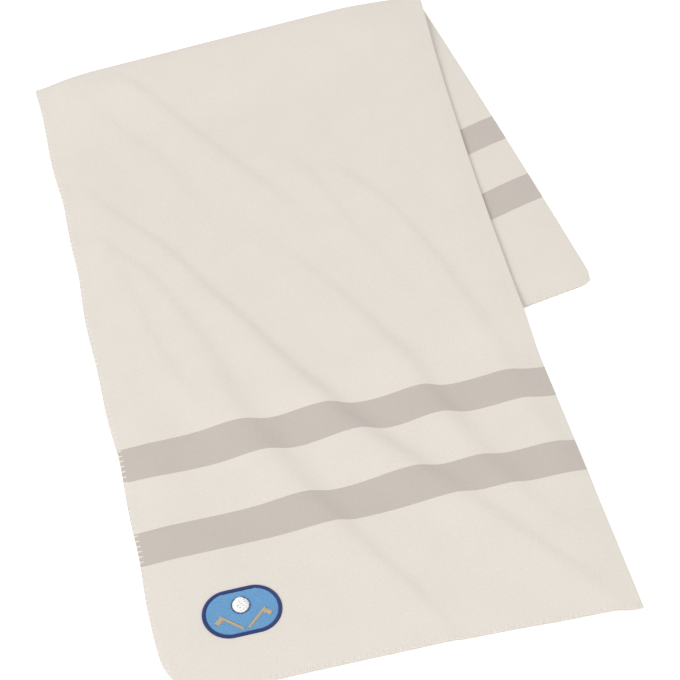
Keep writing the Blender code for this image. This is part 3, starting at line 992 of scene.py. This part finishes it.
def make_emblem(threads, origin):
    """The embroidery, each part in its own thread."""
    line = EMBLEM_WIDTH - BORDER_WIDTH, EMBLEM_HEIGHT - BORDER_WIDTH
    count = round(stadium_length(*line) / SATIN_PITCH)
    centre, out = stadium_edge(*line, np.arange(count) / count)
    slant = np.stack([-out[:, 1], out[:, 0]], -1) * SATIN_PITCH / 2
    reach = out * BORDER_WIDTH / 2
    rails = centre - reach - slant, centre + reach + slant
    border = stitches("emblem_border_satin", rails, BORDER_STITCH, threads["navy"], origin)
    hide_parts("emblem_border")

    radius, straight = EMBLEM_HEIGHT / 2 - BORDER_WIDTH, (EMBLEM_WIDTH - EMBLEM_HEIGHT) / 2
    rails = fill_rows(radius, straight, FILL_PITCH, FILL_STITCH)
    ground = stitches("emblem_ground_fill", rails, GROUND_STITCH, threads["blue"], origin)
    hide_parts("emblem_ground")

    rise = np.array((0, BALL_RISE))
    rails = fill_rows(BALL_RADIUS, 0.0, SATIN_PITCH, 2 * BALL_RADIUS)
    rails = [rail + rise for rail in rails]
    ball = stitches("emblem_ball_satin", rails, BALL_STITCH, threads["white"], origin)
    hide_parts("emblem_ball")

    clubs = []
    for name, side in (("left", -1), ("right", 1)):
        sewn = [satin_between(*rails) for rails in club_rails(side)]
        rails = [np.concatenate(ends) for ends in zip(*sewn)]
        club = stitches(f"emblem_club_{name}_satin", rails, CLUB_STITCH, threads["tan"], origin)
        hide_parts(f"emblem_club_{name}")
        clubs.append(club)

    turns = 2 * math.pi * np.arange(OUTLINE_STITCHES) / OUTLINE_STITCHES
    ring = np.stack([np.cos(turns), np.sin(turns)], -1) * (BALL_RADIUS + OUTLINE_GAP) + rise
    rails = ring, np.roll(ring, -1, 0)
    outline = stitches("emblem_ball_outline", rails, OUTLINE_STITCH, threads["navy"], origin)
    return [border, ground, ball, *clubs, outline]


def make_backing(felt, origin):
    """The felt behind the embroidery, between the two layers: a bar with round ends."""
    rings, spokes = BACKING_RINGS, BACKING_SPOKES
    outermost, _ = stadium_edge(BACKING_WIDTH, BACKING_HEIGHT, np.arange(spokes) / spokes)
    across, station = on_sheet(outermost * np.linspace(1, BACKING_HUB, rings)[:, None, None])
    half = BACKING_THICKNESS / 2
    layers = [
        sheet_point(across, station, 0.0, lift - LAYER_OFFSET).reshape(-1, 3)
        for lift in (half, -half)
    ]
    row, spoke = np.meshgrid(np.arange(rings - 1), np.arange(spokes), indexing="ij")
    first = (row * spokes + spoke).ravel()
    following = (row * spokes + (spoke + 1) % spokes).ravel()
    top = np.stack([first, following, following + spokes, first + spokes], -1)
    count = rings * spokes
    rim, beyond = np.arange(spokes), (np.arange(spokes) + 1) % spokes
    edge = np.stack([beyond, rim, rim + count, beyond + count], -1)
    last = count - spokes
    hub = np.stack([rim + last, beyond + last, beyond + last + count, rim + last + count], -1)
    faces = np.concatenate([top, top[:, ::-1] + count, edge, hub])
    flat = np.tile(flat_points(across, station, 0.0), (2, 1))
    points = np.concatenate(layers)
    backing = mesh_piece("emblem_backing_felt", points, faces, felt, flat, origin)
    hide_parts("emblem_backing")
    return backing


# The care label.


def make_label(tape, white, origin):
    """The blank label on the back's inner layer, and the running stitch that holds it."""
    across = EDGE_INSET + LABEL_WIDTH * np.linspace(0, 1, LABEL_COLUMNS)
    along = LABEL_FROM_END + LABEL_LENGTH * np.linspace(0, 1, LABEL_ROWS)
    across, along = np.meshgrid(across, along)
    station = SHEET_END - along
    low = LAYER / 2 + LABEL_GAP
    waves = np.sin(across * LABEL_WAVES[0]) * np.sin(along * LABEL_WAVES[1])
    under = low + LABEL_SWELL * (1 + waves)
    layers = [
        sheet_point(across, station, math.pi, lift).reshape(-1, 3)
        for lift in (under + LABEL_THICKNESS, under)
    ]
    points, faces = np.concatenate(layers), slab_faces(LABEL_ROWS, LABEL_COLUMNS)
    flat = np.tile(flat_points(across, station, 0.0), (2, 1))
    label = mesh_piece("care_label_tape", points, faces, tape, flat, origin)
    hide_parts("care_label")

    low_x, high_x = SEAM_INSET, LABEL_WIDTH - SEAM_INSET
    low_y, high_y = SEAM_INSET, LABEL_LENGTH - SEAM_INSET
    corners = np.array(
        ((low_x, low_y), (high_x, low_y), (high_x, high_y), (low_x, high_y), (low_x, low_y))
    )
    paths = []
    for first, second in zip(corners, corners[1:]):
        count = round(np.linalg.norm(second - first) / SEAM_PITCH)
        for index in range(count):
            start, end = (mix(first, second, (index + hole) / count) for hole in SEAM_HOLES)
            paths.append(start + (end - start) * SEAM_PLACES[:, None])
    paths = np.array(paths)
    across, station = EDGE_INSET + paths[..., 0], SHEET_END - LABEL_FROM_END - paths[..., 1]
    places = across, station, math.pi, low + LABEL_THICKNESS + SEAM_LIFTS
    seam = thread_piece("care_label_seam", places, SEAM_RADIUS, white, origin)
    return label, seam


# The camera and the studio.


def make_camera(origin):
    data = bpy.data.cameras.new("camera")
    data.lens = CAMERA_LENS
    data.sensor_width = 36
    data.clip_start, data.clip_end = 0.01, 20
    camera = bpy.data.objects.new("camera", data)
    camera.location = origin + CAMERA_PLACE
    camera.rotation_euler = (CAMERA_TILT, 0, CAMERA_TURN)
    bpy.context.scene.collection.objects.link(camera)
    bpy.context.scene.camera = camera


def add_light(name, place, size, power):
    data = bpy.data.lights.new(name, "AREA")
    data.shape = "DISK"
    data.size = size
    data.energy = power
    light = bpy.data.objects.new(name, data)
    light.location = place
    light.rotation_euler = (-Vector(place)).to_track_quat("-Z", "Y").to_euler()
    bpy.context.scene.collection.objects.link(light)


def make_studio():
    """Soft light from two sides and all round, on a plain white floor."""
    scene = bpy.context.scene
    scene.view_settings.view_transform = "Standard"
    world = bpy.data.worlds.new("studio")
    world.use_nodes = True
    background = world.node_tree.nodes["Background"]
    background.inputs["Color"].default_value = WHITE
    background.inputs["Strength"].default_value = WORLD_STRENGTH
    scene.world = world
    for name, (place, size, power) in LIGHTS.items():
        add_light(name, place, size, power)

    corners = [(x * FLOOR_REACH, y * FLOOR_REACH, -FLOOR_DROP) for x, y in FLOOR_CORNERS]
    mesh = bpy.data.meshes.new("floor")
    mesh.from_pydata(corners, [], [(0, 1, 2, 3)])
    floor = bpy.data.objects.new("floor", mesh)
    scene.collection.objects.link(floor)
    material, shader = base_material("floor", roughness=0.9, sheen=0.0)
    shader.inputs["Base Color"].default_value = shaded(WHITE, FLOOR_TONE)
    shader.inputs["Emission Color"].default_value = WHITE
    shader.inputs["Emission Strength"].default_value = FLOOR_GLOW
    mesh.materials.append(material)


def plan_origin():
    """Where plan coordinates start, from the place of the front's lower stripe."""
    low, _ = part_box("front_lower_stripe")
    aside = EDGE_INSET * FRONT_END_WIDTH / CREASE_WIDTH
    return np.array((low.x - aside, low.y - (FRONT_END_MARGIN + SEAM_GAP), 0.0))


def main():
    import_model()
    origin = plan_origin()
    make_camera(origin)
    make_studio()

    cotton = brushed_cotton("ivory_brushed_cotton", linear(*IVORY))
    stripe = brushed_cotton("taupe_brushed_cotton", linear(*TAUPE))
    edging = thread("ivory_overlock_thread", linear(*EDGING), roughness=0.8, sheen=0.3)
    threads = {
        name: thread(f"{name}_embroidery_thread", linear(*colour), roughness=0.42, sheen=0.15)
        for name, colour in EMBROIDERY.items()
    }
    felt = brushed_cotton("white_backing_felt", linear(*FELT))
    tape = woven_tape("white_label_tape", linear(*TAPE))

    cloth = make_cloth(cotton, stripe, origin)
    sewn = make_edging(edging, origin)
    embroidery = make_emblem(threads, origin)
    backing = make_backing(felt, origin)
    label, seam = make_label(tape, threads["white"], origin)


main()
